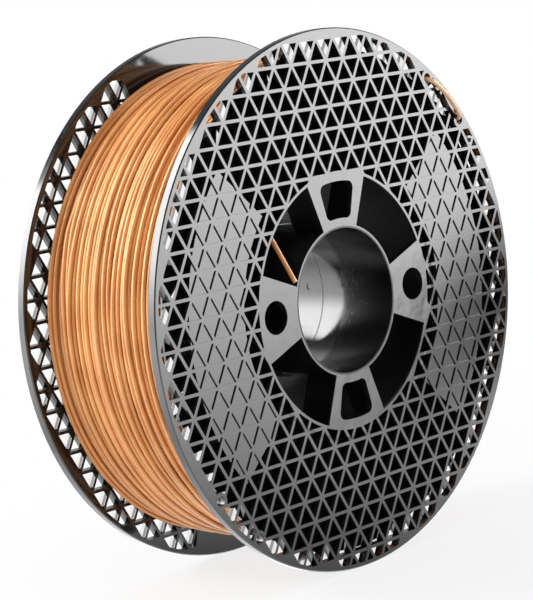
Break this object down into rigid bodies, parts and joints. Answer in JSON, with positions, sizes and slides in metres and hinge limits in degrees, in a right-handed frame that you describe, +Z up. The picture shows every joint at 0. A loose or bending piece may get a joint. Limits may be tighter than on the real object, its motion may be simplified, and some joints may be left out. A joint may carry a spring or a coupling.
{
  "type": "filament spool",
  "caption": "Full spool of printer filament: two snapped half spools with triangular grille flanges, wound drum and through bore.",
  "frame": {"origin": "on the spool's axis, midway along the bore", "axes": "+Y along the bore from the front flange to the rear one, +Z up"},
  "size_m": [0.2, 0.0719, 0.2],
  "materials": {
    "spool_plastic": "glossy black injection moulded polystyrene",
    "filament": "satin copper-brown filament"
  },
  "bodies": {
    "root": {"front_half_spool": "spool_plastic", "rear_half_spool": "spool_plastic", "filament_winding": "filament", "filament_inner_end": "filament", "filament_outer_end": "filament"}
  },
  "joints": []
}
